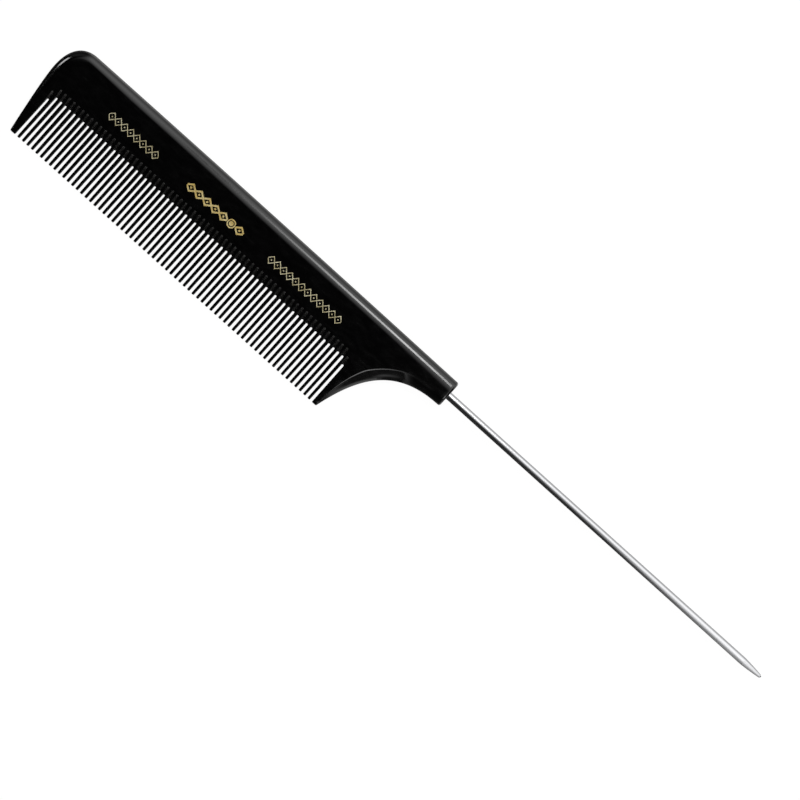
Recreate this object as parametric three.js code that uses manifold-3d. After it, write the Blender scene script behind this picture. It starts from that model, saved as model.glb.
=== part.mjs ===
// A rat tail comb: a wedge-section comb of hard rubber with sawn teeth between two end
// guards, a steel pin for a tail, and three gilt marks pressed into its upper face.
//
// The comb is drawn about its own middle. X runs along it and is zero at the mouth of the
// pin's socket, with the pin on the plus side. Y is zero on the pin's axis and falls
// towards the tooth tips. Z is zero on the middle plane between the two faces. At the end
// the comb is laid down flat on its lower face, with its box centred over the origin.

import * as THREE from "three";
import { mergeGeometries, mergeVertices } from "three/addons/utils/BufferGeometryUtils.js";
import Module from "manifold-3d";

const manifold = await Module();
manifold.setup();

// Driving dimensions, in millimetres.
const OVERALL_LENGTH = 215.9;
const BODY_LENGTH = 118.45;
const PIN_REACH = OVERALL_LENGTH - BODY_LENGTH;

// The outline seen from above.
const SPINE_Y = 3.8;
const TIP_Y = -22.05;
const CORNER_START_X = -112.2;
const CORNER_REACH = 4.8;
const FRONT_BULGE_Y = -4.15;
const FRONT_PULL = 4.05;
const FRONT_TIP_X = -116;
const SOCKET_UNDERSIDE_Y = -3.14;
const NOTCH_PULL_X = -12.6;
const NOTCH_WAIST = new THREE.Vector2(-18.06, -9.24);
const REAR_TIP_X = -21.15;
const CURVE_SEGMENTS = 20;
const SPARE = 1;

// The wedge section across the comb.
const SPINE_HALF = 2.2;
const TIP_HALF = 0.7;
const SHOULDER_Y = 1.3;
const POINT_LENGTH = 0.6;
const POINT_HALF = 0.35;
const NOSE_SEGMENTS = 16;
const DRAFT = Math.atan((SPINE_HALF - TIP_HALF) / (SHOULDER_Y - TIP_Y));

// The gaps between the teeth.
const GAPS = 67;
const PITCH = 1.3875;
const FIRST_GAP_X = -114.28;
const ROOT_Y = -9.37;
const END_ROOT_DROP = 1.5;
const ROOT_GAP = 0.68;
const MOUTH_GAP = 0.86;
const MOUTH_FLARE = 0.1;
const FLARE_LENGTH = 0.35;
const ROOT_SEGMENTS = 6;

// The saw leaves each gap by a ramp that climbs from the middle plane to both faces.
const RUN_OUT_LENGTH = 1.73;
const RUN_OUT_HALF = 1.5;
const RUN_OUT_WIDTH = 0.5;
const RUN_OUT_OVERLAP = 1;

// The bevel that thins the comb towards the edge of the notch.
const BEVEL_LAND = 0.15;
const BEVEL_RISE = 2.4;
const BEVEL_RUN = 3.66;
const BEVEL_CLEAR = 40;

// The pin and its socket.
const PIN_RADIUS = 0.9;
const PIN_ROOT_DEPTH = 26;
const TAPER_LENGTH = 6;
const TIP_RADIUS = 0.4;
const PIN_CLEARANCE = 0.1;
const SOCKET_DEPTH = PIN_ROOT_DEPTH + 0.5;
const GROOVES = 4;
const GROOVE_PITCH = 2.4;
const GROOVE_WIDTH = 0.8;
const GROOVE_DEPTH = 0.15;
const ROUND_SEGMENTS = 24;

// The gilt marks: chains of lozenges, and a bolder chain with a disc.
const MARK_Y = -3.98;
const MARK_HEIGHT = 2.4;
const FINE_STROKE = 0.24;
const BOLD_STROKE = 0.5;
const DISC_RADIUS = 1.15;
const DISC_X = -63.4;
const FOIL = 0.05;
const POCKET_DEPTH = 0.12;
const FOIL_CLEARANCE = 0.03;
const FRONT_MARK = { start: -101.55, end: -86.35, cells: 8, stroke: FINE_STROKE };
const CENTRE_MARK = { start: -77.35, end: -59.95, cells: 7, stroke: BOLD_STROKE };
const REAR_MARK = { start: -52.15, end: -29.65, cells: 12, stroke: FINE_STROKE };

function hardRubber() {
  return new THREE.MeshStandardMaterial({ color: 0x0a0a0b, roughness: 0.22, metalness: 0 });
}

function polishedSteel() {
  return new THREE.MeshStandardMaterial({ color: 0xc9ccd0, roughness: 0.2, metalness: 1 });
}

function giltFoil() {
  return new THREE.MeshStandardMaterial({ color: 0xd9b65a, roughness: 0.35, metalness: 1 });
}

function solid(geometry) {
  const bare = geometry.clone();
  bare.deleteAttribute("normal");
  bare.deleteAttribute("uv");
  const merged = mergeVertices(bare);
  return new manifold.Manifold(
    new manifold.Mesh({
      numProp: 3,
      vertProperties: Float32Array.from(merged.attributes.position.array),
      triVerts: Uint32Array.from(merged.index.array),
    }),
  );
}

function geometryOf(body) {
  const mesh = body.getMesh();
  const geometry = new THREE.BufferGeometry();
  geometry.setAttribute("position", new THREE.BufferAttribute(mesh.vertProperties, 3));
  geometry.setIndex(new THREE.BufferAttribute(mesh.triVerts, 1));
  geometry.computeVertexNormals();
  return geometry;
}

function plate(shape, from, to) {
  const options = { depth: to - from, bevelEnabled: false, curveSegments: CURVE_SEGMENTS };
  return new THREE.ExtrudeGeometry(shape, options).translate(0, 0, from);
}

// A section drawn as (Y, Z) is pushed along X.
function bar(section, from, to) {
  const options = { depth: to - from, bevelEnabled: false };
  const geometry = new THREE.ExtrudeGeometry(section, options).translate(0, 0, from);
  const alongX = new THREE.Matrix4().set(0, 0, 1, 0, 1, 0, 0, 0, 0, 1, 0, 0, 0, 0, 0, 1);
  return geometry.applyMatrix4(alongX);
}

function polygon(points) {
  return new THREE.Shape(points.map(([x, y]) => new THREE.Vector2(x, y)));
}

function gapX(index) {
  return FIRST_GAP_X + index * PITCH;
}

function rootY(index) {
  const atEnd = index === 0 || index === GAPS - 1;
  return atEnd ? ROOT_Y - END_ROOT_DROP : ROOT_Y;
}

function faceHeight(y) {
  return SPINE_HALF - (SHOULDER_Y - y) * Math.tan(DRAFT);
}

function traceFront(path) {
  path.lineTo(CORNER_START_X, SPINE_Y);
  path.bezierCurveTo(
    CORNER_START_X - CORNER_REACH,
    SPINE_Y,
    -BODY_LENGTH,
    FRONT_BULGE_Y + FRONT_PULL,
    -BODY_LENGTH,
    FRONT_BULGE_Y,
  );
  path.quadraticCurveTo(-BODY_LENGTH, FRONT_BULGE_Y - FRONT_PULL, FRONT_TIP_X, TIP_Y);
}

function traceGap(path, index) {
  const x = gapX(index);
  const radius = ROOT_GAP / 2;
  const mouth = MOUTH_GAP / 2;
  path.lineTo(x - mouth - MOUTH_FLARE, TIP_Y);
  path.lineTo(x - mouth, TIP_Y + FLARE_LENGTH);
  for (let step = 0; step <= ROOT_SEGMENTS; step += 1) {
    const angle = Math.PI * (1 - step / ROOT_SEGMENTS);
    path.lineTo(x + radius * Math.cos(angle), rootY(index) - radius * (1 - Math.sin(angle)));
  }
  path.lineTo(x + mouth, TIP_Y + FLARE_LENGTH);
  path.lineTo(x + mouth + MOUTH_FLARE, TIP_Y);
}

function traceNotch(path) {
  path.lineTo(REAR_TIP_X, TIP_Y);
  path.bezierCurveTo(
    NOTCH_WAIST.x,
    NOTCH_WAIST.y,
    NOTCH_PULL_X,
    SOCKET_UNDERSIDE_Y,
    0,
    SOCKET_UNDERSIDE_Y,
  );
}

// The outline stands proud of the spine, which the wedge section then rounds off.
function combOutline() {
  const outline = new THREE.Shape();
  outline.moveTo(0, SPINE_Y + SPARE);
  outline.lineTo(CORNER_START_X, SPINE_Y + SPARE);
  traceFront(outline);
  for (let index = 0; index < GAPS; index += 1) {
    traceGap(outline, index);
  }
  traceNotch(outline);
  return outline;
}

function wedgeSection() {
  const nose = [];
  for (let step = 0; step <= NOSE_SEGMENTS; step += 1) {
    const angle = (step / NOSE_SEGMENTS - 0.5) * Math.PI;
    const y = SHOULDER_Y + (SPINE_Y - SHOULDER_Y) * Math.cos(angle);
    nose.push([y, SPINE_HALF * Math.sin(angle)]);
  }
  const pointStart = TIP_Y + POINT_LENGTH;
  return polygon([
    ...nose,
    [pointStart, faceHeight(pointStart)],
    [TIP_Y, POINT_HALF],
    [TIP_Y, -POINT_HALF],
    [pointStart, -faceHeight(pointStart)],
  ]);
}

function runOut(index) {
  const root = rootY(index);
  const slope = RUN_OUT_LENGTH / RUN_OUT_HALF;
  const high = RUN_OUT_HALF + SPARE;
  const section = polygon([
    [root, 0],
    [root + high * slope, high],
    [root - RUN_OUT_OVERLAP, high],
    [root - RUN_OUT_OVERLAP, -high],
    [root + high * slope, -high],
  ]);
  return bar(section, gapX(index) - RUN_OUT_WIDTH / 2, gapX(index) + RUN_OUT_WIDTH / 2);
}

function runOuts() {
  return mergeGeometries(Array.from({ length: GAPS }, (_, index) => runOut(index)));
}

// The space beyond the notch, widening away from the middle plane towards both its ends.
function notchBevel() {
  const space = new THREE.Shape();
  space.moveTo(REAR_TIP_X, TIP_Y - BEVEL_CLEAR);
  traceNotch(space);
  space.lineTo(BEVEL_CLEAR, SOCKET_UNDERSIDE_Y);
  space.lineTo(BEVEL_CLEAR, TIP_Y - BEVEL_CLEAR);
  return new THREE.ExtrudeGeometry(space, {
    depth: SPARE,
    curveSegments: CURVE_SEGMENTS,
    bevelEnabled: true,
    bevelThickness: BEVEL_RISE,
    bevelSize: BEVEL_RUN,
    bevelSegments: 1,
  });
}

function roundBar(radius, from, to) {
  const length = to - from;
  return new THREE.CylinderGeometry(radius, radius, length, ROUND_SEGMENTS)
    .rotateZ(-Math.PI / 2)
    .translate(from + length / 2, 0, 0);
}

// A chain of open lozenges, drawn with a stroke of the mark's width plus a growth.
function lozengeChain(mark, growth) {
  const half = mark.stroke / 2 + growth;
  const cell = (mark.end - mark.start) / mark.cells;
  const slant = Math.atan2(MARK_HEIGHT, cell);
  const rise = half / Math.cos(slant);
  const crest = (MARK_HEIGHT - mark.stroke / Math.cos(slant)) / 2;
  const upper = [[mark.start - half, rise]];
  const chain = new THREE.Shape();
  for (let index = 0; index < mark.cells; index += 1) {
    const left = mark.start + index * cell;
    const middle = left + cell / 2;
    const inset = half / Math.sin(slant);
    upper.push([left, rise], [middle, crest + rise]);
    chain.holes.push(
      polygon([
        [left + inset, 0],
        [middle, crest - rise],
        [left + cell - inset, 0],
        [middle, rise - crest],
      ]),
    );
  }
  upper.push([mark.end, rise], [mark.end + half, rise]);
  const lower = upper.map(([x, y]) => [x, -y]);
  const rim = [...lower, ...upper.reverse()];
  chain.setFromPoints(rim.map(([x, y]) => new THREE.Vector2(x, y)));
  return chain;
}

function markSolid(mark, growth, from, to) {
  const chain = solid(plate(lozengeChain(mark, growth), from, to));
  if (mark !== CENTRE_MARK) {
    return chain;
  }
  const disc = new THREE.Shape();
  disc.absarc(DISC_X, 0, DISC_RADIUS + growth, 0, 2 * Math.PI, false);
  return chain.add(solid(plate(disc, from, to)));
}

function markPocket(mark) {
  const pocket = geometryOf(markSolid(mark, FOIL_CLEARANCE, -POCKET_DEPTH, SPARE));
  return pocket.rotateX(DRAFT).translate(0, MARK_Y, faceHeight(MARK_Y));
}

function combBody() {
  const blank = solid(plate(combOutline(), -SPINE_HALF - SPARE, SPINE_HALF + SPARE));
  const wedge = solid(bar(wedgeSection(), -BODY_LENGTH - SPARE, SPARE));
  const upperBevel = notchBevel().translate(0, 0, BEVEL_LAND + BEVEL_RISE);
  const lowerBevel = notchBevel().translate(0, 0, -BEVEL_LAND - BEVEL_RISE - SPARE);
  const cutters = [
    runOuts(),
    upperBevel,
    lowerBevel,
    roundBar(PIN_RADIUS + PIN_CLEARANCE, -SOCKET_DEPTH, SPARE),
    markPocket(FRONT_MARK),
    markPocket(CENTRE_MARK),
    markPocket(REAR_MARK),
  ];
  let body = blank.intersect(wedge);
  for (const cutter of cutters) {
    body = body.subtract(solid(cutter));
  }
  const mesh = new THREE.Mesh(geometryOf(body), hardRubber());
  mesh.name = "comb_body";
  return mesh;
}

// The buried root of the pin carries turned grooves that key it into the rubber.
function tailPin() {
  const profile = [[0, -PIN_ROOT_DEPTH], [PIN_RADIUS, -PIN_ROOT_DEPTH]];
  for (let index = 0; index < GROOVES; index += 1) {
    const start = -PIN_ROOT_DEPTH + (index + 1) * GROOVE_PITCH;
    profile.push([PIN_RADIUS, start]);
    profile.push([PIN_RADIUS - GROOVE_DEPTH, start + GROOVE_WIDTH / 4]);
    profile.push([PIN_RADIUS - GROOVE_DEPTH, start + (3 * GROOVE_WIDTH) / 4]);
    profile.push([PIN_RADIUS, start + GROOVE_WIDTH]);
  }
  profile.push([PIN_RADIUS, PIN_REACH - TAPER_LENGTH]);
  profile.push([TIP_RADIUS, PIN_REACH - TIP_RADIUS]);
  profile.push([TIP_RADIUS * Math.SQRT1_2, PIN_REACH - TIP_RADIUS * (1 - Math.SQRT1_2)]);
  profile.push([0, PIN_REACH]);
  const points = profile.map(([radius, along]) => new THREE.Vector2(radius, along));
  const geometry = new THREE.LatheGeometry(points, ROUND_SEGMENTS);
  const mesh = new THREE.Mesh(geometry, polishedSteel());
  mesh.name = "tail_pin";
  mesh.rotation.z = -Math.PI / 2;
  return mesh;
}

function giltMark(name, mark) {
  const base = FOIL_CLEARANCE - POCKET_DEPTH;
  const mesh = new THREE.Mesh(geometryOf(markSolid(mark, 0, base, base + FOIL)), giltFoil());
  mesh.name = name;
  mesh.rotation.x = DRAFT;
  mesh.position.set(0, MARK_Y, faceHeight(MARK_Y));
  return mesh;
}

function lyingFlat(comb) {
  comb.rotation.x = DRAFT;
  const stand = new THREE.Group();
  stand.add(comb);
  const box = new THREE.Box3().setFromObject(stand, true);
  const centre = box.getCenter(new THREE.Vector3());
  comb.position.set(-centre.x, -centre.y, -box.min.z);
  return stand;
}

const comb = new THREE.Group();
comb.add(combBody());
comb.add(tailPin());
comb.add(giltMark("gilt_mark_front", FRONT_MARK));
comb.add(giltMark("gilt_mark_centre", CENTRE_MARK));
comb.add(giltMark("gilt_mark_rear", REAR_MARK));

export default lyingFlat(comb);
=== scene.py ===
"""A rat tail comb on a pale floor: glossy hard rubber, a polished steel pin and gilt marks.

Lengths are in millimetres until a mesh is placed. A piece is drawn about the comb's own
middle: X runs along the comb and is zero at the socket's mouth, with the pin on the plus
side, Y is zero on the pin's axis with the spine on the plus side, and Z is zero on the
middle plane between the two faces. comb_to_world() lays that down where the frame has it.
"""

import math

import bmesh
import bpy
from mathutils import Matrix, Vector
from mathutils.geometry import delaunay_2d_cdt


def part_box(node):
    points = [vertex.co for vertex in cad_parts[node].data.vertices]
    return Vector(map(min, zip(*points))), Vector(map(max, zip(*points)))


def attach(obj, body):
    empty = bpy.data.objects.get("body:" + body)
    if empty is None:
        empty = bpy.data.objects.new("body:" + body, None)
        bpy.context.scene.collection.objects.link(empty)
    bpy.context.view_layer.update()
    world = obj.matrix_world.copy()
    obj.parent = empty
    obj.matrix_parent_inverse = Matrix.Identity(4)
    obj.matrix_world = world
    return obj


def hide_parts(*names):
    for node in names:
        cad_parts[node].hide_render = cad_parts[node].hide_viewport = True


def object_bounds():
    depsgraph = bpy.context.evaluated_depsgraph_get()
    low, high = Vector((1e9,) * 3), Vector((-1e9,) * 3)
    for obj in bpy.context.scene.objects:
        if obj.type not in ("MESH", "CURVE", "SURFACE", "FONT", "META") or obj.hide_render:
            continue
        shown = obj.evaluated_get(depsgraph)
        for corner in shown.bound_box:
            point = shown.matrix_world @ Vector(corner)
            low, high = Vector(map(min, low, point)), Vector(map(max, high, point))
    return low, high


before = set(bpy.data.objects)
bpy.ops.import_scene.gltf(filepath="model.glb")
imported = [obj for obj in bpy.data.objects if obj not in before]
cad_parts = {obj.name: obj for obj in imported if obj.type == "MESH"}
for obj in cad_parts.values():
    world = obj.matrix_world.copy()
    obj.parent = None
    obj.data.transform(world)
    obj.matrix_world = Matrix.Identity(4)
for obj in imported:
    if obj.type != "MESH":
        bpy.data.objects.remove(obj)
cad_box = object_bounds()

MM = 0.001

# The comb's outline.
SPINE_Y = 3.67
SPINE_CROWN_X = -62
SPINE_CROWN = 0.36
TIP_Y = -22.25
CORNER_X = -112.2
CORNER_Y = 3.76
CORNER_REACH = 4.8
FRONT_X = -118.55
FRONT_BULGE_Y = -4.15
FRONT_PULL = 4.05
FRONT_TIP_X = -116.2
UNDERSIDE_Y = -3.2
NOTCH_PULL_X = -12.32
NOTCH_WAIST = (-17.94, -9.54)
NOTCH_TIP_X = -21.15
GUARD_CORNER_REACH = 0.3

# The wedge section: half the thickness at the spine's shoulder and at the tooth tips.
SHOULDER_Y = 1.3
SPINE_HALF = 2.2
TIP_HALF = 0.7
DRAFT = math.atan((SPINE_HALF - TIP_HALF) / (SHOULDER_Y - TIP_Y))

# The gaps between the teeth.
GAPS = 67
PITCH = 1.3875
FIRST_GAP_X = -114.38
ROOT_Y = -9.49
END_ROOT_DROP = 1.5
ROOT_RADIUS = 0.265
MOUTH_HALF = 0.34
POINT_RADIUS = 0.2
POINT_MIDDLE = 0.4
POINT_LENGTH = 0.6
POINT_THINNING = 0.8
RUN_OUT = 2.2
RUN_OUT_LEAN = 0.35

# How far each edge is rounded, measured inwards from the silhouette.
SPINE_ROUND_CORNER = 2.05
SPINE_ROUND_FRONT = 2.35
SPINE_ROUND_REAR = 2.72
SOCKET_OVAL = 2.86
FRONT_ROUND = 1.9
GUARD_ROUND = 0.3
GUARD_CORNER_ROUND = 0.21
TOOTH_ROUND = 0.15
RUN_OUT_ROUND = 0.05
NOTCH_BEVEL = 2.85
NOTCH_TIP_BEVEL = 0.15
NOTCH_BEVEL_GROWTH = 0.22
SOCKET_ROUND = 0.55
SOCKET_RIM_INSET = 0.44
SOCKET_X = 0.06

# Where an edge changes along the comb, as the x at which the change begins and ends.
SPINE_NARROWS = (-50, -95)
SPINE_MEETS_CORNER = (-98, -112)
SPINE_MEETS_SOCKET = (-20, -3)
NOTCH_DEEPENS = (-17, -12)
NOTCH_WIDENS = (-12, -1)
NOTCH_MEETS_SOCKET = (-11, -5)
# The same up the notch's side, as heights above the tooth tips, and along the front edge's curve.
NOTCH_BEVEL_BEGINS = (0, 3)
FRONT_SHARPENS = (0.25, 1)

# How far the saw and the mill left a surface dull, from 0 to 1. The first run-outs are the
# dullest, which fades over DULLNESS_FADE gaps, and a run-out's top keeps a share of its dullness.
MILLED_DULLNESS = 0.02
RUN_OUT_DULLNESS = 0.5
FIRST_RUN_OUT_DULLNESS = 1.0
RUN_OUT_TOP_SHARE = 0.5
DULLNESS_FADE = 2.5

# How finely curves are divided, and how near two points have to be to become one.
RINGS = 8
ARC_STEPS = 8
POINT_STEPS = 3
WALL_STOPS = (0.35, 0.7)
RUN_OUT_STEPS = 4
RIM_STEPS = 4
SPINE_CROWDING = 1.5
FRONT_EDGE_DRAWN = 0.975
WELD = 0.0005
TRIANGLE_WELD = 1e-5

# The pin.
PIN_RADIUS = 0.94
PIN_REACH = 97.03
PIN_ROOT = 26.0
PIN_ROOT_CHAMFER = 0.15
GROOVES = 4
GROOVE_PITCH = 2.4
GROOVE_WIDTH = 0.8
GROOVE_DEPTH = 0.15
SHANK_STEPS = 12
TAPER_LENGTH = 5.58
TAPER_BULGE = 0.05
TAPER_STEPS = 10
PIN_TIP_RADIUS = 0.42
PIN_TIP_STEPS = 6
BORE_RADIUS = 0.97
BORE_CHAMFER = 0.12
BORE_DEPTH = 26.4

# The gilt marks. The margin is how far a chain's ends lie inside the box of the CAD's mark.
MARK_Y = -3.98
MARK_HEIGHT = 2.4
MARK_PROUD = 0.012
MARK_SUNK = 0.03
FINE_STROKE = 0.19
FINE_DOT = 0.18
FINE_MARGIN = 0.12
BOLD_STROKE = 0.40
BOLD_DOT = 0.26
BOLD_MARGIN = 0.25
DISC_RADIUS = 0.56
RING_INSIDE = 0.80
RING_OUTSIDE = 1.10


def comb_to_world():
    """The comb's own axes in the frame: tipped to lie on its lower face, at the CAD's place."""
    comb_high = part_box("comb_body")[1]
    pin_low, pin_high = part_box("tail_pin")
    pin_middle = (pin_low + pin_high) / 2
    place = Matrix.Translation((comb_high.x, pin_middle.y, pin_middle.z))
    return place @ Matrix.Rotation(DRAFT, 4, "X") @ Matrix.Scale(MM, 4)


def face_height(y):
    """Height of the flat face above the middle plane, thinned at the tooth points."""
    height = SPINE_HALF - (SHOULDER_Y - y) * math.tan(DRAFT)
    into_point = 1 - (y - TIP_Y) / POINT_LENGTH
    if into_point > 0:
        height *= math.sqrt(1 - POINT_THINNING * min(into_point, 1) ** 2)
    return height


def bezier(points, t):
    points = [Vector(p) for p in points]
    while len(points) > 1:
        points = [a.lerp(b, t) for a, b in zip(points, points[1:])]
    return points[0]


def ease(value, start, end):
    """0 at start and 1 at end, turning softly at both."""
    t = min(max((value - start) / (end - start), 0.0), 1.0)
    return t * t * (3 - 2 * t)


def mix(a, b, t):
    return a + (b - a) * t


# An edge profile is a list of (share of the edge's width, share of the face's height).
ROUND_EDGE = [
    (1 - math.cos(math.pi / 2 * k / RINGS), math.sin(math.pi / 2 * k / RINGS))
    for k in range(RINGS + 1)
]


def sawn_edge():
    """A nearly upright wall with a small rounded arris."""
    wall = 0.84
    lean = 0.1
    arris = RINGS - 2
    profile = [(0, 0), (lean / 2, wall / 2)]
    for k in range(arris + 1):
        angle = math.pi / 2 * k / arris
        across = lean + (1 - lean) * (1 - math.cos(angle))
        profile.append((across, wall + (1 - wall) * math.sin(angle)))
    return profile


SAWN_EDGE = sawn_edge()
MILLED_EDGE = [
    (0, 0),
    (0.01, 0.04),
    (0.04, 0.10),
    (0.18, 0.285),
    (0.34, 0.47),
    (0.60, 0.688),
    (0.82, 0.88),
    (0.88, 0.937),
    (1, 1),
]
# The same towards the socket, where the steeper part lies further in.
DEEP_MILLED_EDGE = [
    (0, 0),
    (0.01, 0.07),
    (0.02, 0.14),
    (0.30, 0.366),
    (0.41, 0.51),
    (0.52, 0.655),
    (0.82, 0.889),
    (0.88, 0.937),
    (1, 1),
]


def blend_profiles(a, b, share):
    return [(mix(p[0], q[0], share), mix(p[1], q[1], share)) for p, q in zip(a, b)]


class Station:
    """A point of the outline, with the edge that rises inwards from it.

    floor is the height it rises from, as a share of the face's height. dullness is how far the
    saw or the mill left its surface dull. inward is the direction in which the edge rises.
    """

    def __init__(self, x, y, width, profile, floor=0.0, dullness=0.0):
        self.at = Vector((x, y))
        self.width = width
        self.profile = profile
        self.floor = floor
        self.dullness = dullness
        self.inward = None

    def ring(self, k):
        across, up = self.profile[k]
        p = self.at + self.inward * (self.width * across)
        share = self.floor + (1 - self.floor) * up
        return (p.x, p.y, face_height(p.y) * share)


def spine_stations(steps=48):
    """From the socket's end along the spine to the front corner, closest near the socket."""
    control = [(-SOCKET_ROUND, SPINE_Y), (SPINE_CROWN_X, SPINE_Y + SPINE_CROWN), (CORNER_X, CORNER_Y)]
    for i in range(steps):
        p = bezier(control, (i / steps) ** SPINE_CROWDING)
        width = mix(SPINE_ROUND_REAR, SPINE_ROUND_FRONT, ease(p.x, *SPINE_NARROWS))
        width = mix(width, SPINE_ROUND_CORNER, ease(p.x, *SPINE_MEETS_CORNER))
        width = mix(width, SOCKET_OVAL, ease(p.x, *SPINE_MEETS_SOCKET))
        yield Station(p.x, p.y, width, ROUND_EDGE)


def front_stations(corner_steps=26, edge_steps=14):
    """Round the front corner and down the front edge to just above the guard's tip."""
    corner = [
        (CORNER_X, CORNER_Y),
        (CORNER_X - CORNER_REACH, CORNER_Y),
        (FRONT_X, FRONT_BULGE_Y + FRONT_PULL),
        (FRONT_X, FRONT_BULGE_Y),
    ]
    for i in range(corner_steps):
        t = i / corner_steps
        p = bezier(corner, t)
        yield Station(p.x, p.y, mix(SPINE_ROUND_CORNER, FRONT_ROUND, ease(t, 0, 1)), ROUND_EDGE)
    edge = [(FRONT_X, FRONT_BULGE_Y), (FRONT_X, FRONT_BULGE_Y - FRONT_PULL), (FRONT_TIP_X, TIP_Y)]
    for i in range(edge_steps):
        t = i / edge_steps * FRONT_EDGE_DRAWN
        p = bezier(edge, t)
        share = ease(t, *FRONT_SHARPENS)
        profile = blend_profiles(ROUND_EDGE, SAWN_EDGE, share)
        yield Station(p.x, p.y, mix(FRONT_ROUND, GUARD_ROUND, share), profile)


def guard_corner(before, corner, after, steps=5):
    """The rounded corner of a guard's tip, between the points before and after it."""
    before, corner, after = Vector(before), Vector(corner), Vector(after)
    start = corner + (before - corner).normalized() * GUARD_CORNER_REACH
    end = corner + (after - corner).normalized() * GUARD_CORNER_REACH
    for i in range(steps + 1):
        p = bezier([start, corner, end], i / steps)
        yield Station(p.x, p.y, GUARD_CORNER_ROUND, SAWN_EDGE)


def gap_x(index):
    return FIRST_GAP_X + index * PITCH


def root_y(index):
    return ROOT_Y - (END_ROOT_DROP if index in (0, GAPS - 1) else 0)


def wall_half(index, y):
    """Half the width of a gap at a height: it narrows from the mouth to the root."""
    top = root_y(index) - ROOT_RADIUS
    share = (y - TIP_Y) / (top - TIP_Y)
    return mix(MOUTH_HALF, ROOT_RADIUS, share)


def point_arc(index, side):
    """The rounded corner of a tooth point beside a gap, from the flat end to the wall."""
    edge = gap_x(index) + side * MOUTH_HALF
    centre = Vector((edge + side * POINT_RADIUS, TIP_Y + POINT_RADIUS))
    stations = []
    for i in range(POINT_STEPS + 1):
        angle = math.pi / 2 * i / POINT_STEPS
        x = centre.x - side * POINT_RADIUS * math.sin(angle)
        y = centre.y - POINT_RADIUS * math.cos(angle)
        stations.append(Station(x, y, TOOTH_ROUND, SAWN_EDGE))
    return stations


def wall(index, side):
    """One side of a gap, from the tooth point up to the end of the saw's run-out."""
    centre = gap_x(index)
    top = root_y(index) - ROOT_RADIUS
    stations = []
    heights = [TIP_Y + POINT_MIDDLE, TIP_Y + POINT_LENGTH, *(mix(TIP_Y, top, s) for s in WALL_STOPS)]
    for y in heights:
        stations.append(Station(centre + side * wall_half(index, y), y, TOOTH_ROUND, SAWN_EDGE))
    for j in range(RUN_OUT_STEPS):
        share = j / RUN_OUT_STEPS
        width = mix(TOOTH_ROUND, RUN_OUT_ROUND, share)
        x = centre + side * ROOT_RADIUS - RUN_OUT_LEAN * share
        stations.append(Station(x, top + RUN_OUT * share, width, SAWN_EDGE, share))
    return stations


def gap_stations(index):
    """Round a gap and its run-out, from one tooth point to the next."""
    yield from point_arc(index, -1)
    yield from wall(index, -1)
    centre = Vector((gap_x(index) - RUN_OUT_LEAN, root_y(index) - ROOT_RADIUS + RUN_OUT))
    for i in range(ARC_STEPS + 1):
        angle = math.pi * (1 - i / ARC_STEPS)
        x = centre.x + ROOT_RADIUS * math.cos(angle)
        y = centre.y + ROOT_RADIUS * math.sin(angle)
        yield Station(x, y, RUN_OUT_ROUND, SAWN_EDGE, 1.0)
    yield from reversed(wall(index, 1))
    yield from reversed(point_arc(index, 1))


def notch_stations(steps=44):
    """From the rear guard's tip up the notch's curve to the socket's underside."""
    curve = [
        (NOTCH_TIP_X, TIP_Y),
        NOTCH_WAIST,
        (NOTCH_PULL_X, UNDERSIDE_Y),
        (-SOCKET_ROUND, UNDERSIDE_Y),
    ]
    for i in range(1, steps + 1):
        p = bezier(curve, i / steps)
        above_tips = p.y - TIP_Y
        to_socket = ease(p.x, *NOTCH_MEETS_SOCKET)
        width = min(NOTCH_BEVEL, NOTCH_TIP_BEVEL + above_tips * NOTCH_BEVEL_GROWTH)
        width = mix(width, SOCKET_OVAL, ease(p.x, *NOTCH_WIDENS))
        milled = blend_profiles(MILLED_EDGE, DEEP_MILLED_EDGE, ease(p.x, *NOTCH_DEEPENS))
        profile = blend_profiles(SAWN_EDGE, milled, ease(above_tips, *NOTCH_BEVEL_BEGINS))
        profile = blend_profiles(profile, ROUND_EDGE, to_socket)
        yield Station(p.x, p.y, width, profile, dullness=MILLED_DULLNESS * (1 - to_socket))


def outline_stations():
    """The outline, anticlockwise seen from above, from the spine's socket end to the notch's."""
    first_wall = (gap_x(0) - MOUTH_HALF, TIP_Y)
    last_wall = (gap_x(GAPS - 1) + MOUTH_HALF, TIP_Y)
    front_edge = (FRONT_X, FRONT_BULGE_Y - FRONT_PULL)
    stations = [*spine_stations(), *front_stations()]
    stations += guard_corner(front_edge, (FRONT_TIP_X, TIP_Y), first_wall)
    for index in range(GAPS):
        stations += gap_stations(index)
    stations += guard_corner(last_wall, (NOTCH_TIP_X, TIP_Y), NOTCH_WAIST)
    stations += notch_stations()
    for i, station in enumerate(stations):
        legs = []
        if i > 0:
            legs.append((station.at - stations[i - 1].at).normalized())
        if i < len(stations) - 1:
            legs.append((stations[i + 1].at - station.at).normalized())
        along = sum(legs, Vector((0, 0))).normalized()
        station.inward = Vector((-along.y, along.x))
    stations[0].inward = Vector((0, -1))
    stations[-1].inward = Vector((0, 1))
    return stations


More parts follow.
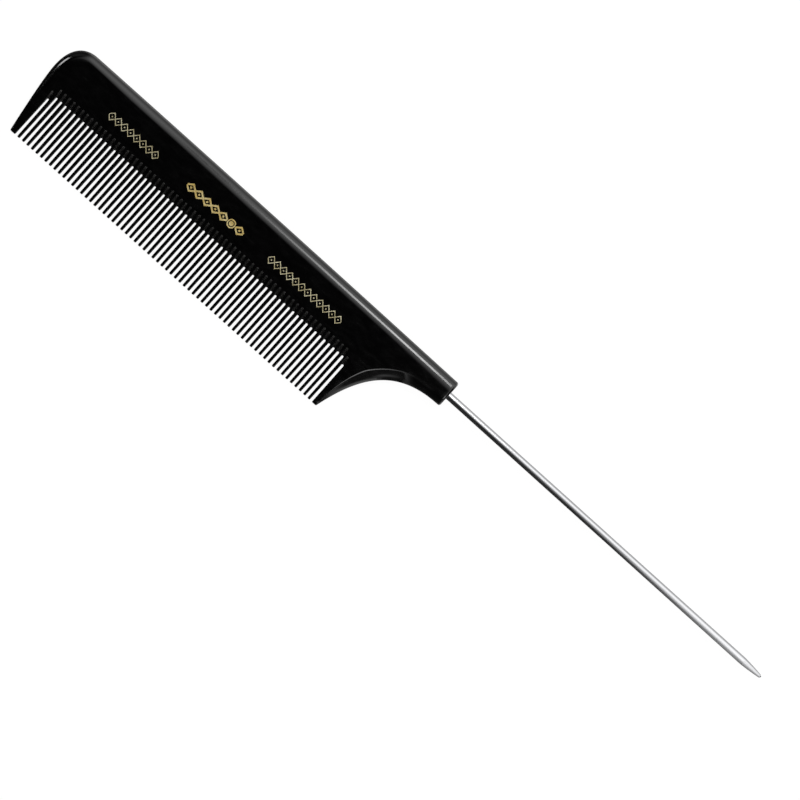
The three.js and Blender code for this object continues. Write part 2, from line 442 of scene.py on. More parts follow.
class Sheets:
    """Collects faces by the coordinates of their corners, so that shared corners are one vertex."""

    def __init__(self):
        self.index = {}
        self.points = []
        self.faces = []
        self.dullness = []

    def vertex(self, p):
        key = tuple(round(c, 5) + 0.0 for c in p)
        if key not in self.index:
            self.index[key] = len(self.points)
            self.points.append(Vector(p))
        return self.index[key]

    def face(self, corners, side=1, dullness=0.0):
        """side is 1 for the upper face and -1 for its mirror image below."""
        ids = [self.vertex((x, y, z * side)) for x, y, z in corners]
        ids = [v for i, v in enumerate(ids) if v != ids[i - 1]]
        if len(ids) > 2:
            self.faces.append(ids if side > 0 else ids[::-1])
            self.dullness.append(dullness)

    def mesh(self, name):
        """The welded mesh. Its faces carry their dullness in an attribute that the material reads."""
        mesh = bpy.data.meshes.new(name)
        mesh.from_pydata(self.points, [], self.faces)
        mesh.attributes.new("sawn", "FLOAT", "FACE").data.foreach_set("value", self.dullness)
        shell = bmesh.new()
        shell.from_mesh(mesh)
        bmesh.ops.remove_doubles(shell, verts=shell.verts, dist=WELD)
        shell.to_mesh(mesh)
        shell.free()
        return mesh


def add_edges(sheets, stations, side):
    """The edges' surfaces, from the outline inwards and up to the face."""
    for a, b in zip(stations, stations[1:]):
        for k in range(RINGS):
            corners = [a.ring(k), b.ring(k), b.ring(k + 1), a.ring(k + 1)]
            sheets.face(corners, side, (a.dullness + b.dullness) / 2)


def add_run_out(sheets, index, side):
    """The ramp from the knife edge at a gap's root up to the face, dullest at the comb's front."""
    centre = gap_x(index)
    low = root_y(index) - ROOT_RADIUS
    dullness = mix(RUN_OUT_DULLNESS, FIRST_RUN_OUT_DULLNESS, math.exp(-index / DULLNESS_FADE))

    def point(i, j):
        angle = math.pi * (1 - i / ARC_STEPS)
        share = j / RUN_OUT_STEPS
        x = centre + ROOT_RADIUS * math.cos(angle) - RUN_OUT_LEAN * share
        y = low + ROOT_RADIUS * math.sin(angle) + RUN_OUT * share
        return (x, y, face_height(y) * share)

    for i in range(ARC_STEPS):
        for j in range(RUN_OUT_STEPS):
            corners = [point(i, j), point(i + 1, j), point(i + 1, j + 1), point(i, j + 1)]
            sheets.face(corners, side, dullness * mix(1, RUN_OUT_TOP_SHARE, j / RUN_OUT_STEPS))


def end_line(stations):
    """Points of the face across the socket's end, between the spine's and the notch's edges."""
    high = stations[0].ring(RINGS)
    low = stations[-1].ring(RINGS)
    points = []
    for share in (0.75, 0.5, 0.25):
        y = mix(high[1], low[1], share)
        points.append((-SOCKET_ROUND, y, face_height(y)))
    return points


def add_face(sheets, stations, side):
    """The flat face inside all the rounded edges."""
    rim = [s.ring(RINGS) for s in stations] + end_line(stations)
    flat = [Vector((x, y)) for x, y, _ in rim]
    edges = [(i, (i + 1) % len(rim)) for i in range(len(rim))]
    _, _, triangles, origins, _, _ = delaunay_2d_cdt(flat, edges, [], 1, TRIANGLE_WELD)
    for triangle in triangles:
        corners = [rim[origins[v][0]] for v in triangle]
        sheets.face(corners, side)


def socket_section(stations):
    """The closed outline of the comb's end, as (y, z), anticlockwise seen from the pin."""
    spine = [stations[0].ring(k)[1:] for k in range(RINGS + 1)]
    notch = [stations[-1].ring(k)[1:] for k in range(RINGS + 1)]
    middle = [p[1:] for p in end_line(stations)][::-1]
    upper = spine + middle + notch[::-1]
    lower = [(y, -z) for y, z in upper[1:-1]][::-1]
    return [Vector(p) for p in upper + lower]


def add_socket_end(sheets, stations):
    """The rounded rim, the flat end face, and the blind hole that holds the pin."""
    section = socket_section(stations)
    count = len(section)
    inward = []
    for i, p in enumerate(section):
        along = (section[(i + 1) % count] - section[i - 1]).normalized()
        inward.append(Vector((-along.y, along.x)))
    loops = [[(-SOCKET_ROUND, p.x, p.y) for p in section]]
    for j in range(1, RIM_STEPS + 1):
        angle = math.pi / 2 * j / RIM_STEPS
        x = SOCKET_X + SOCKET_ROUND * (math.sin(angle) - 1)
        inset = SOCKET_RIM_INSET * (1 - math.cos(angle))
        rim = [p + n * inset for p, n in zip(section, inward)]
        loops.append([(x, p.x, p.y) for p in rim])
    bore = [
        (SOCKET_X, BORE_RADIUS + BORE_CHAMFER),
        (SOCKET_X - BORE_CHAMFER, BORE_RADIUS),
        (-BORE_DEPTH, BORE_RADIUS),
    ]
    for x, radius in bore:
        loops.append([(x, *(p.normalized() * radius)) for p in section])
    for a, b in zip(loops, loops[1:]):
        for i in range(count):
            k = (i + 1) % count
            sheets.face([a[k], b[k], b[i], a[i]])
    sheets.face(loops[-1])


def comb_body():
    stations = outline_stations()
    sheets = Sheets()
    for side in (1, -1):
        add_edges(sheets, stations, side)
        add_face(sheets, stations, side)
        for index in range(GAPS):
            add_run_out(sheets, index, side)
    add_socket_end(sheets, stations)
    return sheets.mesh("comb")


def pin_profile():
    """Half the pin's section, as (x, radius): grooved root, plain shank, taper and round tip."""
    profile = [(-PIN_ROOT, 0)]
    profile.append((-PIN_ROOT, PIN_RADIUS - PIN_ROOT_CHAMFER))
    profile.append((-PIN_ROOT + PIN_ROOT_CHAMFER, PIN_RADIUS))
    for index in range(GROOVES):
        start = -PIN_ROOT + GROOVE_PITCH * (index + 1)
        for share, depth in ((0, 0), (0.25, GROOVE_DEPTH), (0.75, GROOVE_DEPTH), (1, 0)):
            profile.append((start + GROOVE_WIDTH * share, PIN_RADIUS - depth))
    shank = -PIN_ROOT + GROOVE_PITCH * (GROOVES + 1)
    taper = PIN_REACH - TAPER_LENGTH
    for step in range(SHANK_STEPS + 1):
        profile.append((mix(shank, taper, step / SHANK_STEPS), PIN_RADIUS))
    tip_centre = PIN_REACH - PIN_TIP_RADIUS
    for step in range(1, TAPER_STEPS + 1):
        share = step / TAPER_STEPS
        bulge = TAPER_BULGE * math.sin(math.pi * share)
        radius = mix(PIN_RADIUS, PIN_TIP_RADIUS, share) + bulge
        profile.append((mix(taper, tip_centre, share), radius))
    for step in range(1, PIN_TIP_STEPS + 1):
        angle = math.pi / 2 * step / PIN_TIP_STEPS
        x = tip_centre + PIN_TIP_RADIUS * math.sin(angle)
        profile.append((x, PIN_TIP_RADIUS * math.cos(angle)))
    return profile


def tail_pin(segments=64):
    profile = pin_profile()
    sheets = Sheets()
    for (xa, ra), (xb, rb) in zip(profile, profile[1:]):
        for i in range(segments):
            turn = 2 * math.pi * i / segments
            next_turn = 2 * math.pi * (i + 1) / segments
            corners = [(xa, ra, turn), (xb, rb, turn), (xb, rb, next_turn), (xa, ra, next_turn)]
            sheets.face([(x, r * math.sin(a), r * math.cos(a)) for x, r, a in corners])
    return sheets.mesh("pin")


def slab(polygons, low, high):
    """A closed plate over flat polygons that share corners, from one height to another."""
    sheets = Sheets()
    rim = {}
    for polygon in polygons:
        sheets.face([(x, y, high) for x, y in polygon])
        sheets.face([(x, y, low) for x, y in reversed(polygon)])
        for i, b in enumerate(polygon):
            a = polygon[i - 1]
            ends = tuple(tuple(round(c, 5) for c in p) for p in (a, b))
            if ends[::-1] in rim:
                del rim[ends[::-1]]
            else:
                rim[ends] = (a, b)
    for (ax, ay), (bx, by) in rim.values():
        sheets.face([(ax, ay, low), (bx, by, low), (bx, by, high), (ax, ay, high)])
    return sheets


def lozenge_chain(start, cell, cells, stroke, skipped=()):
    """Open lozenges joined at their points. A skipped cell leaves its place empty."""
    half = stroke / 2
    slant = math.atan2(MARK_HEIGHT, cell)
    rise = half / math.cos(slant)
    inset = half / math.sin(slant)
    crest = (MARK_HEIGHT - stroke / math.cos(slant)) / 2
    shown = [i for i in range(cells) if i not in skipped]
    polygons = []
    for i in shown:
        left, middle, right = (start + cell * (i + share) for share in (0, 0.5, 1))
        for near, hole in ((left, left + inset), (right, right - inset)):
            for up in (1, -1):
                top = [(middle, up * (crest - rise)), (middle, up * (crest + rise))]
                side = [(near, up * rise), (hole, 0), *top]
                clockwise = (near < middle) == (up > 0)
                polygons.append(side if clockwise else side[::-1])
    for i in range(cells + 1):
        x = start + cell * i
        if i in shown:
            polygons.append([(x, rise), (x, -rise), (x + inset, 0)])
        if i - 1 in shown:
            polygons.append([(x, -rise), (x, rise), (x - inset, 0)])
    return polygons


def circle(x, radius, steps=40):
    turns = [2 * math.pi * i / steps for i in range(steps)]
    return [(x + radius * math.cos(a), radius * math.sin(a)) for a in turns]


def ring(x, inner, outer):
    a = circle(x, inner)
    b = circle(x, outer)
    return [[a[i - 1], b[i - 1], b[i], a[i]] for i in range(len(a))]


def fine_mark(low, high, cells):
    """A chain of thin lozenges with a dot in each."""
    cell = (high - low) / cells
    polygons = lozenge_chain(low, cell, cells, FINE_STROKE)
    for i in range(cells):
        polygons.append(circle(low + cell * (i + 0.5), FINE_DOT, steps=16))
    return polygons


def bold_mark(low, high, cells):
    """A chain of thick lozenges, with a ringed disc in the last place but one."""
    cell = (high - low) / cells
    disc = cells - 2
    centre = low + cell * (disc + 0.5)
    polygons = lozenge_chain(low, cell, cells, BOLD_STROKE, skipped=(disc,))
    for i in range(cells):
        if i != disc:
            polygons.append(circle(low + cell * (i + 0.5), BOLD_DOT, steps=20))
    return polygons + [circle(centre, DISC_RADIUS)] + ring(centre, RING_INSIDE, RING_OUTSIDE)


def gilt_mark(node, draw, cells, margin):
    """A mark on the upper face, in the place of the CAD's. draw gives its polygons."""
    low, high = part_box(node)
    origin = comb_to_world().translation.x
    start = (low.x - origin) / MM + margin
    end = (high.x - origin) / MM - margin
    mesh = slab(draw(start, end, cells), -MARK_SUNK, MARK_PROUD).mesh(node)
    on_face = Matrix.Translation((0, MARK_Y, face_height(MARK_Y))) @ Matrix.Rotation(DRAFT, 4, "X")
    mesh.transform(on_face)
    return mesh


class Nodes:
    """A short way to write a node tree: each call adds a node and sets its inputs by name."""

    def __init__(self, tree):
        self.tree = tree
        tree.nodes.clear()

    def add(self, kind, settings=None, **inputs):
        """An input's name has its blanks written as underscores."""
        node = self.tree.nodes.new(kind)
        for name, value in (settings or {}).items():
            setattr(node, name, value)
        for name, value in inputs.items():
            self.set(node, name.replace("_", " "), value)
        return node

    def set(self, node, name, value):
        """Sets an input, by its name or its number, to a value or to another node's output."""
        socket = node.inputs[name]
        if isinstance(value, bpy.types.NodeSocket):
            self.tree.links.new(value, socket)
        else:
            socket.default_value = value

    def math(self, operation, *values):
        node = self.add("ShaderNodeMath", {"operation": operation})
        for i, value in enumerate(values):
            self.set(node, i, value)
        return node.outputs[0]

    def times(self, first, *others):
        for other in others:
            first = self.math("MULTIPLY", first, other)
        return first

    def plus(self, first, *others):
        for other in others:
            first = self.math("ADD", first, other)
        return first

    def ramp(self, value, span, levels=(0.0, 1.0), curve="SMOOTHSTEP"):
        """Goes from the first level to the second while the value goes over the span."""
        node = self.add("ShaderNodeMapRange", {"interpolation_type": curve}, Value=value)
        for name, number in zip(("From Min", "From Max", "To Min", "To Max"), (*span, *levels)):
            self.set(node, name, number)
        return node.outputs[0]

    def ramp_degrees(self, angle, span, levels=(0.0, 1.0)):
        """The same for an angle in radians over a span in degrees."""
        return self.ramp(angle, [math.radians(a) for a in span], levels)

    def table(self, angle, stops):
        """A level by an angle in radians, from (degrees, level) pairs."""
        peak = max(level for _, level in stops)
        turn = self.math("MULTIPLY_ADD", angle, 1 / (2 * math.pi), 0.5)
        node = self.add("ShaderNodeValToRGB", Fac=turn)
        marks = node.color_ramp.elements
        for i, (degrees, level) in enumerate(stops):
            mark = marks[i] if i < len(marks) else marks.new(1.0)
            mark.position = (degrees + 180) / 360
            mark.color = (level / peak,) * 3 + (1,)
        return self.math("MULTIPLY", node.outputs[0], peak)

    def mix_float(self, share, a, b):
        node = self.add("ShaderNodeMix", {"data_type": "FLOAT"})
        for number, value in ((0, share), (2, a), (3, b)):
            self.set(node, number, value)
        return node.outputs[0]

    def mix_color(self, share, a, b):
        """Each colour is another node's output or linear red, green and blue."""
        node = self.add("ShaderNodeMix", {"data_type": "RGBA"})
        self.set(node, 0, share)
        for number, color in ((6, a), (7, b)):
            is_output = isinstance(color, bpy.types.NodeSocket)
            self.set(node, number, color if is_output else (*color, 1))
        return node.outputs[2]

    def noise(self, where, per_metre, stretch=(1, 1, 1), detail=3.0, rough=0.5):
        """Noise over object space, finer along an axis with a bigger stretch."""
        mapping = self.add("ShaderNodeMapping", Vector=where, Scale=stretch)
        node = self.add("ShaderNodeTexNoise", Vector=mapping.outputs[0], Scale=per_metre)
        self.set(node, "Detail", detail)
        self.set(node, "Roughness", rough)
        return node.outputs["Fac"]

    def bump(self, height, depth, strength, over=None):
        """A normal for a relief of a depth in millimetres, over another normal."""
        node = self.add("ShaderNodeBump", Height=height, Distance=depth * MM, Strength=strength)
        if over is not None:
            self.set(node, "Normal", over)
        return node.outputs[0]


def new_material(name):
    material = bpy.data.materials.new(name)
    material.use_nodes = True
    nodes = Nodes(material.node_tree)
    where = nodes.add("ShaderNodeTexCoord").outputs["Object"]
    surface = nodes.add("ShaderNodeBsdfPrincipled")
    nodes.add("ShaderNodeOutputMaterial", Surface=surface.outputs[0])
    return material, nodes, where, surface


# Colours are linear red, green and blue, and pairs of them run from dark to light.
RUBBER_BLACK = (0.0003, 0.0003, 0.0004), (0.0007, 0.0006, 0.0006)
RUBBER_CUT = (0.055, 0.053, 0.051), (0.115, 0.111, 0.106)
# The grey of a painted sheen, which the rubber's colour takes only where it is seen at a slant.
RUBBER_SLANT_SHEEN = (0.045, 0.0435, 0.042)
RUBBER_IOR = 1.58
BUFFED_ROUGHNESS = (0.10, 0.17)
HAIRLINE_ROUGHNESS = (0, 0.05)
CUT_ROUGHNESS = (0.34, 0.5)

STEEL_TONES = (0.53, 0.535, 0.55), (0.60, 0.60, 0.61)
STEEL_EDGE_TINT = (0.5, 0.5, 0.5, 1)
GROUND_ROUGHNESS = (0.10, 0.15)
RUB_ROUGHNESS = (0, 0.1)

PALE_GILT = (0.66, 0.58, 0.34), (0.92, 0.86, 0.60)
RICH_GILT = (0.86, 0.64, 0.22), (1.0, 0.84, 0.42)
FOIL_ROUGHNESS = (0.42, 0.58)
BARE_SPECK = (0.004, 0.004, 0.004)
SPECK_EDGE = 0.04


def hard_rubber():
    """Buffed black hard rubber, with a painted sheen: its colour turns faintly grey where it is seen at a
    slant, patchy with the haze.

    Its sawn and milled cuts are duller, greyer and a little warmer.
    """
    material, nodes, where, surface = new_material("hard_rubber")
    sawn = nodes.add("ShaderNodeAttribute", {"attribute_name": "sawn"}).outputs["Fac"]
    slant = nodes.add("ShaderNodeLayerWeight", Blend=0.5).outputs["Facing"]
    cloud = nodes.noise(where, per_metre=90, detail=4)
    haze = nodes.noise(where, per_metre=900, stretch=(0.4, 1, 1), detail=5, rough=0.6)
    hairlines = nodes.noise(where, per_metre=2600, stretch=(0.06, 1, 1), detail=2)
    saw_lines = nodes.noise(where, per_metre=7000, stretch=(0.5, 1, 0.1), detail=2)

    polished = nodes.mix_color(cloud, *RUBBER_BLACK)
    cut = nodes.mix_color(haze, *RUBBER_CUT)
    # Painted sheen: the black greys faintly in the colour where the surface is seen at a slant, in
    # patches over the haze.
    painted_sheen = nodes.times(nodes.ramp(slant, (0.41, 0.56)), nodes.ramp(haze, (0.25, 0.75), (0.6, 1.0)))
    sheened_black = nodes.mix_color(painted_sheen, polished, RUBBER_SLANT_SHEEN)
    nodes.set(surface, "Base Color", nodes.mix_color(sawn, sheened_black, cut))

    buffed = nodes.ramp(haze, (0.3, 0.75), BUFFED_ROUGHNESS)
    gloss = nodes.plus(buffed, nodes.ramp(hairlines, (0.55, 0.8), HAIRLINE_ROUGHNESS))
    dull = nodes.ramp(haze, (0.3, 0.7), CUT_ROUGHNESS)
    nodes.set(surface, "Roughness", nodes.mix_float(sawn, gloss, dull))
    nodes.set(surface, "IOR", RUBBER_IOR)

    normal = nodes.bump(cloud, depth=0.04, strength=0.12)
    normal = nodes.bump(hairlines, depth=0.004, strength=0.12, over=normal)
    normal = nodes.bump(nodes.times(saw_lines, sawn), depth=0.02, strength=0.5, over=normal)
    nodes.set(surface, "Normal", normal)
    return material


def polished_steel():
    """Ground and polished round bar, with fine lines along it and a few faint rubs across it."""
    material, nodes, where, surface = new_material("polished_steel")
    lines = nodes.noise(where, per_metre=6000, stretch=(0.02, 1, 1), detail=3)
    rubs = nodes.noise(where, per_metre=1500, stretch=(1, 0.15, 0.15), detail=4, rough=0.7)
    tone = nodes.noise(where, per_metre=60, detail=3)
    nodes.set(surface, "Metallic", 1.0)
    nodes.set(surface, "Base Color", nodes.mix_color(tone, *STEEL_TONES))
    nodes.set(surface, "Specular Tint", STEEL_EDGE_TINT)
    ground = nodes.ramp(lines, (0.3, 0.7), GROUND_ROUGHNESS)
    rubbed = nodes.ramp(rubs, (0.62, 0.75), RUB_ROUGHNESS)
    nodes.set(surface, "Roughness", nodes.plus(ground, rubbed))
    normal = nodes.bump(lines, depth=0.004, strength=0.25)
    normal = nodes.bump(rubs, depth=0.003, strength=0.15, over=normal)
    nodes.set(surface, "Normal", normal)
    return material


def gilt_foil(name, tones, worn):
    """Hot-stamped metal foil: a fine grain, a shift of tone, and specks where it didn't take.

    worn is the level of the noise above which the foil is missing.
    """
    material, nodes, where, surface = new_material(name)
    tone = nodes.noise(where, per_metre=700, detail=3)
    grain = nodes.noise(where, per_metre=9000, detail=3, rough=0.7)
    specks = nodes.noise(where, per_metre=5200, detail=2)
    edge = (worn, worn + SPECK_EDGE)
    foil = nodes.mix_color(nodes.ramp(tone, (0.35, 0.65)), *tones)
    nodes.set(surface, "Base Color", nodes.mix_color(nodes.ramp(specks, edge), foil, BARE_SPECK))
    nodes.set(surface, "Metallic", nodes.ramp(specks, edge, (1.0, 0.0)))
    nodes.set(surface, "Roughness", nodes.ramp(grain, (0.3, 0.7), FOIL_ROUGHNESS))
    nodes.set(surface, "Normal", nodes.bump(grain, depth=0.01, strength=0.4))
    return material


def place(name, mesh, material):
    """A new object in the scene, of one mesh and one material."""
    mesh.name = name
    mesh.materials.append(material)
    thing = bpy.data.objects.new(name, mesh)
    bpy.context.scene.collection.objects.link(thing)
    return thing


def show(mesh, name, node, material, sharp_angle=None):
    """Puts a mesh drawn about the comb into the scene, instead of its CAD node."""
    mesh.transform(comb_to_world())
    piece = place(name, mesh, material)
    if sharp_angle is not None:
        mesh.polygons.foreach_set("use_smooth", [True] * len(mesh.polygons))
        mesh.set_sharp_from_angle(angle=math.radians(sharp_angle))
        modifier = piece.modifiers.new("face_weighted_normals", "WEIGHTED_NORMAL")
        modifier.mode = "FACE_AREA"
        modifier.weight = 50
        modifier.keep_sharp = True
    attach(piece, "root")
    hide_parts(node)


# The floor. Its glow is the share of what the camera sees that is glow and not paper.
FLOOR_SIZE = 8000
FLOOR_DROP = 0.02
FLOOR_PAPER = 0.9
FLOOR_BRIGHTNESS = 1.07
FLOOR_GLOW = 0.9
FLOOR_GLOW_SLANTED = 0.5
FLOOR_SLANT = (0.1, 0.55)

# The camera.
VIEW_ROLL = 42.03
VIEW_WIDTH = 184.56
VIEW_SHIFT = (2.91, 0.88, 0)
LENS = 300.0
SENSOR = 36.0
CLIP = (50, 30000)

# The room's brightness by angle from overhead, in degrees, positive towards the spine's side.
ROOM = [
    (-180, 0.05),
    (-120, 0.05),
    (-85, 0.04),
    (-55, 0.01),
    (-11, 0.004),
    (-5, 0.16),
    (1, 0.5),
    (8, 0.75),
    (17, 1.1),
    (26, 1.35),
    (36, 1.6),
    (48, 1.75),
    (60, 1.52),
    (78, 1.0),
    (98, 0.61),
    (123, 0.9),
    (150, 0.35),
]
# It darkens towards both ends of the comb, over these X components of the direction, but nowhere
# below the least level. The camera sees it as an even pale grey.
ROOM_FRONT = (-0.5, -0.08)
ROOM_REAR = (0.2, 0.6)
ROOM_LEAST = 0.003
ROOM_SEEN = 0.9

# Lights in the room: the strength, then where it rises and falls by angle from overhead, then
# where it rises and falls by bearing, in degrees. A bearing is 0 beyond the pin's tip and 90
# beyond the spine. A light that never falls reaches down to the horizon and below it.
NEVER = (181, 182)
LIGHTS = [
    # Two beyond the teeth and the pin, for the lines along the notch.
    (3.4, (22, 30), (44, 50), (-78, -56), (-50, -20)),
    (1.25, (64, 78), NEVER, (-72, -34), (-35, -8)),
    # Two that the comb's edges hardly mirror towards the main camera, for the slanting views.
    (1.4, (40, 52), NEVER, (-156, -142), (-118, -104)),
    (1.4, (58, 70), NEVER, (20, 34), (60, 74)),
]

# A weak fill from beyond the front corner, and a weaker one from beyond the pin's tip. They
# come up over these components of the direction. The corner's also rises with the angle from
# overhead, in degrees, and falls to a share near the horizon.
CORNER_FILL = 0.16
CORNER_FILL_X = (-0.3, -0.55)
CORNER_FILL_Y = (0.1, 0.4)
CORNER_FILL_RISE = (32, 46)
CORNER_FILL_FALL = (70, 88)
CORNER_FILL_LOW = 0.4
REAR_FILL = 0.05
REAR_FILL_X = (0.25, 0.5)

# The pin's surroundings by angle from overhead, near its root and near its tip.
PIN_ROOM_ROOT = [
    (-130, 0.02),
    (-40, 0.01),
    (-20, 0.03),
    (-11, 0.14),
    (-5, 0.32),
    (0, 0.54),
    (8, 0.84),
    (17, 1.15),
    (28, 1.4),
    (40, 1.65),
    (60, 1.45),
    (78, 0.92),
    (98, 0.58),
    (123, 0.7),
]
PIN_ROOM_TIP = [
    (-130, 0.5),
    (-95, 0.55),
    (-59, 0.72),
    (-28, 1.2),
    (0, 1.75),
    (17, 1.9),
    (28, 1.85),
    (60, 1.2),
    (78, 0.8),
    (98, 0.52),
    (123, 0.65),
]
PIN_GLOW_START = 8
TIP_CARD_SHARE = 0.85

# The streak on the spine: it rises along the comb's rear half and stops before the pin.
SPINE_GLOW = 14.5
SPINE_GLOW_RISE = (-95, -8)
SPINE_GLOW_FALL = (-3, 2)
SPINE_GLOW_POWER = 1.5

# The short streak on the front edge: the card it mirrors, by its distance from the edge, its
# angle from overhead and half its angular width, and its reach along Y.
FRONT_GLOW = 9.0
FRONT_EDGE_MIDDLE = (-118.4, -2.0, 2.0)
FRONT_CARD_DISTANCE = 300
FRONT_CARD_TILT = 64.8
FRONT_CARD_SPREAD = 10
FRONT_CARD_Y = (-38, 42)


def floor():
    """A pale sheet. To the camera it mostly glows, like paper on a light table."""
    half = FLOOR_SIZE / 2 * MM
    corners = [(-half, -half, 0), (half, -half, 0), (half, half, 0), (-half, half, 0)]
    mesh = bpy.data.meshes.new("floor")
    mesh.from_pydata(corners, [], [(0, 1, 2, 3)])
    material = bpy.data.materials.new("floor")
    material.use_nodes = True
    nodes = Nodes(material.node_tree)
    paper = nodes.add("ShaderNodeBsdfDiffuse", Color=(FLOOR_PAPER, FLOOR_PAPER, FLOOR_PAPER, 1))
    glow = nodes.add("ShaderNodeEmission", Color=(1, 1, 1, 1), Strength=FLOOR_BRIGHTNESS)
    seen = nodes.add("ShaderNodeLightPath").outputs["Is Camera Ray"]
    slant = nodes.add("ShaderNodeLayerWeight", Blend=0.5).outputs["Facing"]
    share = nodes.times(seen, nodes.ramp(slant, FLOOR_SLANT, (FLOOR_GLOW, FLOOR_GLOW_SLANTED)))
    mixed = nodes.add("ShaderNodeMixShader")
    for number, value in enumerate((share, paper.outputs[0], glow.outputs[0])):
        nodes.set(mixed, number, value)
    nodes.add("ShaderNodeOutputMaterial", Surface=mixed.outputs[0])
    sheet = place("floor", mesh, material)
    sheet.location.z = -FLOOR_DROP * MM
    sheet.visible_glossy = False


def room_light():
    """A studio dome: bright beyond the spine, dark beyond the teeth, pale to the camera."""
    world = bpy.data.worlds.new("room")
    bpy.context.scene.world = world
    world.use_nodes = True
    nodes = Nodes(world.node_tree)
    direction = nodes.add("ShaderNodeTexCoord").outputs["Generated"]
    x, y, z = nodes.add("ShaderNodeSeparateXYZ", Vector=direction).outputs
    overhead = nodes.math("ARCCOSINE", z)
    bearing = nodes.math("ARCTAN2", y, x)

    dome = nodes.table(nodes.math("ARCTAN2", y, z), ROOM)
    dome = nodes.times(dome, nodes.ramp(x, ROOM_FRONT), nodes.ramp(x, ROOM_REAR, (1.0, 0.0)))

    corner = nodes.times(
        nodes.ramp(x, CORNER_FILL_X, (0.0, CORNER_FILL)),
        nodes.ramp(y, CORNER_FILL_Y),
        nodes.ramp_degrees(overhead, CORNER_FILL_RISE),
        nodes.ramp_degrees(overhead, CORNER_FILL_FALL, (1.0, CORNER_FILL_LOW)),
    )
    rear = nodes.ramp(x, REAR_FILL_X, (0.0, REAR_FILL))

    level = nodes.plus(dome, corner, rear, ROOM_LEAST)
    for strength, rise, fall, bearing_rise, bearing_fall in LIGHTS:
        light = nodes.times(
            nodes.ramp_degrees(overhead, rise, (0.0, strength)),
            nodes.ramp_degrees(overhead, fall, (1.0, 0.0)),
            nodes.ramp_degrees(bearing, bearing_rise),
            nodes.ramp_degrees(bearing, bearing_fall, (1.0, 0.0)),
        )
        level = nodes.plus(level, light)

    seen = nodes.add("ShaderNodeLightPath").outputs["Is Camera Ray"]
    brightness = nodes.mix_float(seen, level, ROOM_SEEN)
    back = nodes.add("ShaderNodeBackground", Color=(1, 1, 1, 1), Strength=brightness)
    nodes.add("ShaderNodeOutputWorld", Surface=back.outputs[0])


def card(name, points, faces, strength, lights_floor):
    """A glowing card the camera can't see. strength(nodes, where) gives its brightness.

    where is the place on the card, in metres from the comb's origin. A card that doesn't light
    the floor shows only in what mirrors it.
    """
    mesh = bpy.data.meshes.new(name)
    mesh.from_pydata(points, [], faces)
    material = bpy.data.materials.new(name)
    material.use_nodes = True
    nodes = Nodes(material.node_tree)
    offset = nodes.add("ShaderNodeVectorMath", {"operation": "SUBTRACT"})
    nodes.set(offset, 0, nodes.add("ShaderNodeNewGeometry").outputs["Position"])
    nodes.set(offset, 1, comb_to_world().translation)
    where = nodes.add("ShaderNodeSeparateXYZ", Vector=offset.outputs[0]).outputs
    glow = nodes.add("ShaderNodeEmission", Strength=strength(nodes, where))
    nodes.add("ShaderNodeOutputMaterial", Surface=glow.outputs[0])
    sheet = place(name, mesh, material)
    sheet.visible_camera = False
    sheet.visible_shadow = False
    sheet.visible_diffuse = lights_floor


def arched_card(name, span, angles, distance, strength, lights_floor=False, steps=24):
    """A card bent about the comb's length.

    It runs over a span of x, and between two angles in degrees from overhead, positive towards
    the spine's side.
    """
    middle = comb_to_world().translation
    points = []
    for i in range(steps + 1):
        angle = math.radians(mix(angles[0], angles[1], i / steps))
        across = Vector((0, math.sin(angle), math.cos(angle))) * distance * MM
        points += [middle + across + Vector((x * MM, 0, 0)) for x in span]
    faces = [(2 * i, 2 * i + 1, 2 * i + 3, 2 * i + 2) for i in range(steps)]
    card(name, points, faces, strength, lights_floor)


def spine_glow(nodes, where):
    rise = nodes.ramp(where[0], [x * MM for x in SPINE_GLOW_RISE], curve="LINEAR")
    fall = nodes.ramp(where[0], [x * MM for x in SPINE_GLOW_FALL], (1.0, 0.0))
    return nodes.times(nodes.math("POWER", rise, SPINE_GLOW_POWER), fall, SPINE_GLOW)


def pin_glow(end, power):
    """Pales along the pin, on the teeth's side, until x is end.

    A bigger power keeps the root's surroundings for longer.
    """

    def strength(nodes, where):
        angle = nodes.math("ARCTAN2", where[1], where[2])
        along = nodes.ramp(where[0], (PIN_GLOW_START * MM, end * MM), curve="LINEAR")
        share = nodes.math("POWER", along, power)
        return nodes.mix_float(share, nodes.table(angle, PIN_ROOM_ROOT), nodes.table(angle, PIN_ROOM_TIP))

    return strength


def tip_glow(nodes, where):
    """Carries the same light on to the pin's taper, which leans away from the other cards."""
    angle = nodes.math("ARCTAN2", where[1], where[2])
    return nodes.times(nodes.table(angle, PIN_ROOM_TIP), TIP_CARD_SHARE)


def front_card():
    """A small card beyond the front edge, turned towards it."""
    middle = comb_to_world().translation + Vector(FRONT_EDGE_MIDDLE) * MM
    low, high = FRONT_CARD_Y
    points = []
    for turn, y in ((-1, low), (-1, high), (1, high), (1, low)):
        angle = math.radians(FRONT_CARD_TILT + turn * FRONT_CARD_SPREAD)
        out = Vector((-math.sin(angle), 0, math.cos(angle))) * FRONT_CARD_DISTANCE
        points.append(middle + (out + Vector((0, y, 0))) * MM)
    card("front_card", points, [(0, 1, 2, 3)], lambda nodes, where: FRONT_GLOW, lights_floor=False)


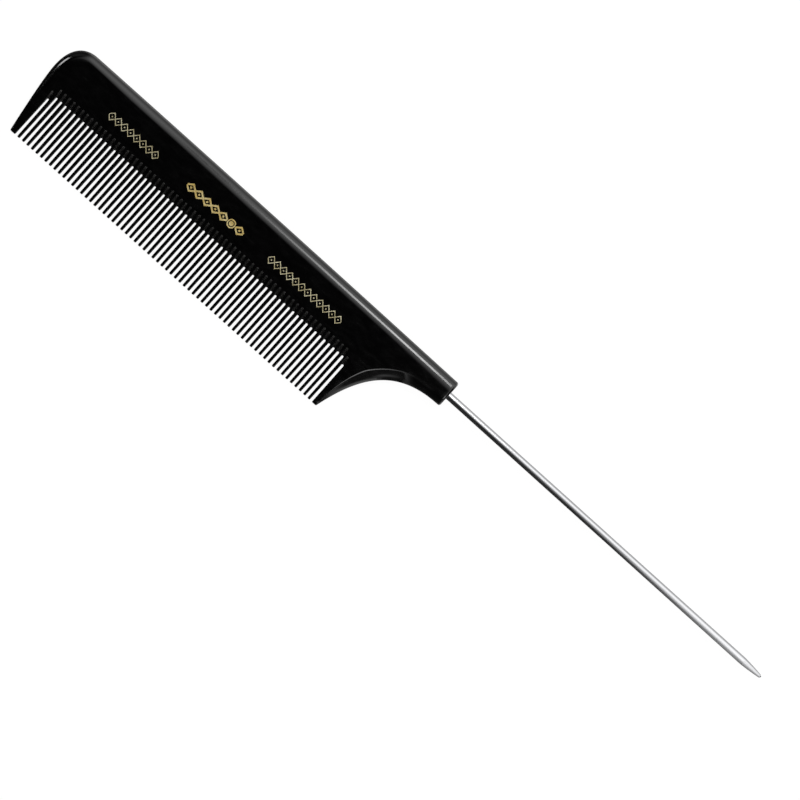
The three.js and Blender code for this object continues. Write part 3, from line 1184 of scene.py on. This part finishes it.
def camera():
    """Straight down on the comb, turned so that it lies along the picture's diagonal."""
    data = bpy.data.cameras.new("camera")
    data.lens = LENS
    data.sensor_width = SENSOR
    data.clip_start = CLIP[0] * MM
    data.clip_end = CLIP[1] * MM
    low, high = cad_box
    distance = VIEW_WIDTH * LENS / SENSOR
    rig = bpy.data.objects.new("camera", data)
    rig.location = (low + high) / 2 + (Vector(VIEW_SHIFT) + Vector((0, 0, distance))) * MM
    rig.rotation_euler = (0, 0, math.radians(VIEW_ROLL))
    bpy.context.scene.collection.objects.link(rig)
    bpy.context.scene.camera = rig


rubber = hard_rubber()
steel = polished_steel()
pale_gilt = gilt_foil("pale_gilt", PALE_GILT, worn=0.66)
rich_gilt = gilt_foil("rich_gilt", RICH_GILT, worn=0.68)
front_mark = gilt_mark("gilt_mark_front", fine_mark, cells=8, margin=FINE_MARGIN)
centre_mark = gilt_mark("gilt_mark_centre", bold_mark, cells=7, margin=BOLD_MARGIN)
rear_mark = gilt_mark("gilt_mark_rear", fine_mark, cells=12, margin=FINE_MARGIN)
show(comb_body(), "comb", "comb_body", rubber, sharp_angle=38)
show(tail_pin(), "pin", "tail_pin", steel, sharp_angle=40)
show(front_mark, "mark_front", "gilt_mark_front", pale_gilt)
show(centre_mark, "mark_centre", "gilt_mark_centre", rich_gilt)
show(rear_mark, "mark_rear", "gilt_mark_rear", pale_gilt)

floor()
room_light()
arched_card(
    "spine_strip",
    span=(-95, 3),
    angles=(27, 45),
    distance=350,
    strength=spine_glow,
    lights_floor=True,
    steps=1,
)
arched_card("pin_card", span=(6, 135), angles=(-20, 32), distance=340, strength=pin_glow(114, 2.3))
arched_card("pin_side_card", span=(12, 142), angles=(-44, -20), distance=600, strength=pin_glow(128, 2.3))
arched_card("pin_flank_card", span=(55, 140), angles=(-128, -44), distance=600, strength=pin_glow(128, 5))
arched_card("tip_card", span=(96, 114), angles=(-120, 20), distance=45, strength=tip_glow)
front_card()
camera()
bpy.context.scene.view_settings.view_transform = "Standard"
